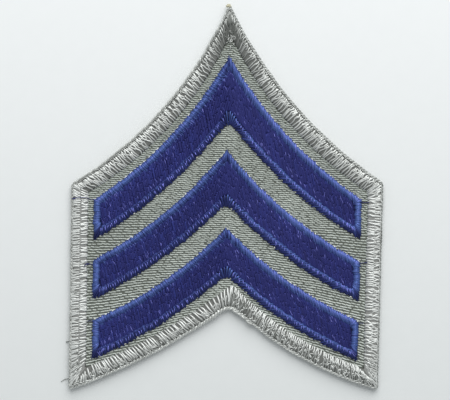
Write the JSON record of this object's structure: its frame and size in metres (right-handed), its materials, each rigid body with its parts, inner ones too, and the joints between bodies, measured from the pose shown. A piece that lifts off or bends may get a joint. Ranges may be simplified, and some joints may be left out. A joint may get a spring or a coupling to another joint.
{
  "type": "rank chevron patch",
  "caption": "Flat pointed cloth patch with a merrowed border and embroidered chevrons, sewn to a sleeve by its back.",
  "frame": {"origin": "middle of the patch's footprint, on its back", "axes": "+Y towards the tip of the patch, +X to the right as it is seen from the front, +Z out of its face"},
  "size_m": [0.0764, 0.0935, 0.0023],
  "materials": {
    "twill": "matt ribbed twill, grey",
    "border_thread": "glossy silver-grey rayon thread",
    "fill_thread": "glossy dark blue thread in upright rows",
    "rim_thread": "glossy royal blue thread in a raised satin column"
  },
  "bodies": {
    "root": {"ground_cloth": "twill", "edge_border": "border_thread", "chevron_top_fill": "fill_thread", "chevron_top_rim": "rim_thread", "chevron_middle_fill": "fill_thread", "chevron_middle_rim": "rim_thread", "chevron_bottom_fill": "fill_thread", "chevron_bottom_rim": "rim_thread"}
  },
  "joints": []
}
